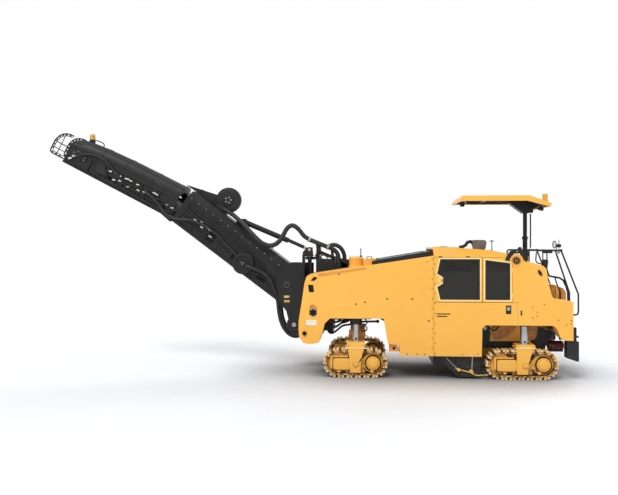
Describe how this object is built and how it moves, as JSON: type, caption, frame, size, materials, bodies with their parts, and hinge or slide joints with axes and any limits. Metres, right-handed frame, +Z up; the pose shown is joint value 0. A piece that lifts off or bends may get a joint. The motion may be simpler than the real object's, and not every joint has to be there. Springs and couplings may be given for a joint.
{
  "type": "cold planer milling machine",
  "caption": "Road milling machine on steerable crawler tracks, with a milling drum under the body, a canopy over the operator and a folding loading conveyor in front.",
  "frame": {"origin": "middle of the bounding box's underside, on the ground that the tracks stand on", "axes": "+X forward, towards the conveyor's discharge; +Y to the machine's left; +Z up"},
  "size_m": [11.2455, 2.3, 5.2978],
  "materials": {
    "yellow_paint": "satin paint",
    "black_paint": "satin black paint",
    "tinted_glass": "dark tint",
    "cast_metal": "rough cast",
    "muffler_steel": "matt",
    "console_plastic": "matt",
    "seat_fabric": "woven",
    "chrome_rod": "polished",
    "track_paint": "worn paint over steel",
    "belt_rubber": "matt",
    "amber_lens": "clear gloss"
  },
  "bodies": {
    "frame": {"front_cheek_left": "yellow_paint", "front_cheek_right": "yellow_paint", "front_deck": "black_paint", "lower_panel_left": "yellow_paint", "lower_panel_right": "yellow_paint", "rear_panel_left": "yellow_paint", "rear_panel_right": "yellow_paint", "main_frame": "yellow_paint", "hood": "yellow_paint", "engine": "cast_metal", "platform": "black_paint", "control_console": "console_plastic", "operator_seat": "seat_fabric", "guard_rails": "black_paint", "rear_steps": "black_paint", "tank_cover": "black_paint", "air_cleaner": "yellow_paint", "exhaust_box": "muffler_steel", "drum_housing": "black_paint", "primary_conveyor": "black_paint", "leg_sleeves": "black_paint", "slew_bearings": "black_paint", "canopy_post": "black_paint"},
    "slew": {"slew_frame": "black_paint"},
    "conveyor": {"conveyor_main": "black_paint", "belt_main": "belt_rubber", "dust_fan": "black_paint"},
    "head": {"conveyor_head": "black_paint", "belt_head": "belt_rubber", "head_guards": "black_paint", "head_beacon": "amber_lens"},
    "barrel": {"lift_barrel": "black_paint"},
    "rod": {"lift_rod": "chrome_rod"},
    "drum": {"drum": "cast_metal"},
    "canopy": {"canopy_roof": "yellow_paint", "canopy_mast": "black_paint"},
    "door_front_left": {"door_front_left": "yellow_paint", "pane_front_left": "tinted_glass"},
    "door_front_right": {"door_front_right": "yellow_paint", "pane_front_right": "tinted_glass"},
    "door_rear_left": {"door_rear_left": "yellow_paint", "pane_rear_left": "tinted_glass"},
    "door_rear_right": {"door_rear_right": "yellow_paint", "pane_rear_right": "tinted_glass"},
    "protector_left": {"edge_protector_left": "black_paint"},
    "protector_right": {"edge_protector_right": "black_paint"},
    "leg_front_left": {"leg_front_left": "chrome_rod"},
    "track_front_left": {"track_frame_front_left": "yellow_paint", "track_front_left": "track_paint"},
    "leg_front_right": {"leg_front_right": "chrome_rod"},
    "track_front_right": {"track_frame_front_right": "yellow_paint", "track_front_right": "track_paint"},
    "leg_rear_left": {"leg_rear_left": "chrome_rod"},
    "track_rear_left": {"track_frame_rear_left": "yellow_paint", "track_rear_left": "track_paint"},
    "leg_rear_right": {"leg_rear_right": "chrome_rod"},
    "track_rear_right": {"track_frame_rear_right": "yellow_paint", "track_rear_right": "track_paint"}
  },
  "joints": [
    {"name": "swing", "type": "hinge", "parent": "frame", "child": "slew", "pos_m": [-0.12877, 0, 1.5], "axis": [0, 0, 1], "range_deg": [-60, 60]},
    {"name": "lift", "type": "hinge", "parent": "slew", "child": "conveyor", "pos_m": [0.34123, 0, 1.85], "axis": [0, -1, 0], "range_deg": [-28, 4]},
    {"name": "fold", "type": "hinge", "parent": "conveyor", "child": "head", "pos_m": [2.90296, 0, 3.26688], "axis": [0, 1, 0], "range_deg": [0, 100]},
    {"name": "lift_barrel_tilt", "type": "hinge", "parent": "conveyor", "child": "barrel", "pos_m": [1.35323, 0, 3.242], "axis": [0, -1, 0], "range_deg": [-1.13, 4.93]},
    {"name": "lift_rod_slide", "type": "slide", "parent": "barrel", "child": "rod", "axis": [-0.921, 0, -0.3896], "range_m": [-0.0641, 0.4188]},
    {"name": "drum_spin", "type": "hinge", "parent": "frame", "child": "drum", "pos_m": [-3.23377, 0, 0.552], "axis": [0, 1, 0], "continuous": true},
    {"name": "door_front_left", "type": "hinge", "parent": "frame", "child": "door_front_left", "pos_m": [-3.69377, 1.142, 2], "axis": [0, 0, 1], "range_deg": [0, 90]},
    {"name": "door_front_right", "type": "hinge", "parent": "frame", "child": "door_front_right", "pos_m": [-3.69377, -1.142, 2], "axis": [0, 0, -1], "range_deg": [0, 90]},
    {"name": "door_rear_left", "type": "hinge", "parent": "frame", "child": "door_rear_left", "pos_m": [-4.29277, 1.142, 2], "axis": [0, 0, 1], "range_deg": [0, 90]},
    {"name": "door_rear_right", "type": "hinge", "parent": "frame", "child": "door_rear_right", "pos_m": [-4.29277, -1.142, 2], "axis": [0, 0, -1], "range_deg": [0, 90]},
    {"name": "protector_left", "type": "slide", "parent": "frame", "child": "protector_left", "axis": [0, 0, 1], "range_m": [0, 0.33]},
    {"name": "protector_right", "type": "slide", "parent": "frame", "child": "protector_right", "axis": [0, 0, 1], "range_m": [0, 0.33]},
    {"name": "canopy_lower", "type": "slide", "parent": "frame", "child": "canopy", "axis": [0, 0, -1], "range_m": [0, 0.48]},
    {"name": "leg_front_left", "type": "slide", "parent": "frame", "child": "leg_front_left", "axis": [0, 0, 1], "range_m": [-0.05, 0.3]},
    {"name": "steer_front_left", "type": "hinge", "parent": "leg_front_left", "child": "track_front_left", "pos_m": [-1.16277, 0.95, 0.8], "axis": [0, 0, 1], "range_deg": [-25, 25]},
    {"name": "leg_front_right", "type": "slide", "parent": "frame", "child": "leg_front_right", "axis": [0, 0, 1], "range_m": [-0.05, 0.3]},
    {"name": "steer_front_right", "type": "hinge", "parent": "leg_front_right", "child": "track_front_right", "pos_m": [-1.16277, -0.95, 0.8], "axis": [0, 0, 1], "range_deg": [-25, 25]},
    {"name": "leg_rear_left", "type": "slide", "parent": "frame", "child": "leg_rear_left", "axis": [0, 0, 1], "range_m": [-0.05, 0.3]},
    {"name": "steer_rear_left", "type": "hinge", "parent": "leg_rear_left", "child": "track_rear_left", "pos_m": [-4.56877, 0.95, 0.8], "axis": [0, 0, 1], "range_deg": [-20, 20]},
    {"name": "leg_rear_right", "type": "slide", "parent": "frame", "child": "leg_rear_right", "axis": [0, 0, 1], "range_m": [-0.05, 0.3]},
    {"name": "steer_rear_right", "type": "hinge", "parent": "leg_rear_right", "child": "track_rear_right", "pos_m": [-4.56877, -0.95, 0.8], "axis": [0, 0, 1], "range_deg": [-20, 20]}
  ],
  "couplings": [
    {"joint": "lift_barrel_tilt", "follows": "lift", "ratio": -0.15819},
    {"joint": "lift_rod_slide", "follows": "lift", "m_per_rad": -0.84672},
    {"joint": "steer_front_right", "follows": "steer_front_left", "ratio": 1},
    {"joint": "steer_rear_right", "follows": "steer_rear_left", "ratio": 1}
  ]
}
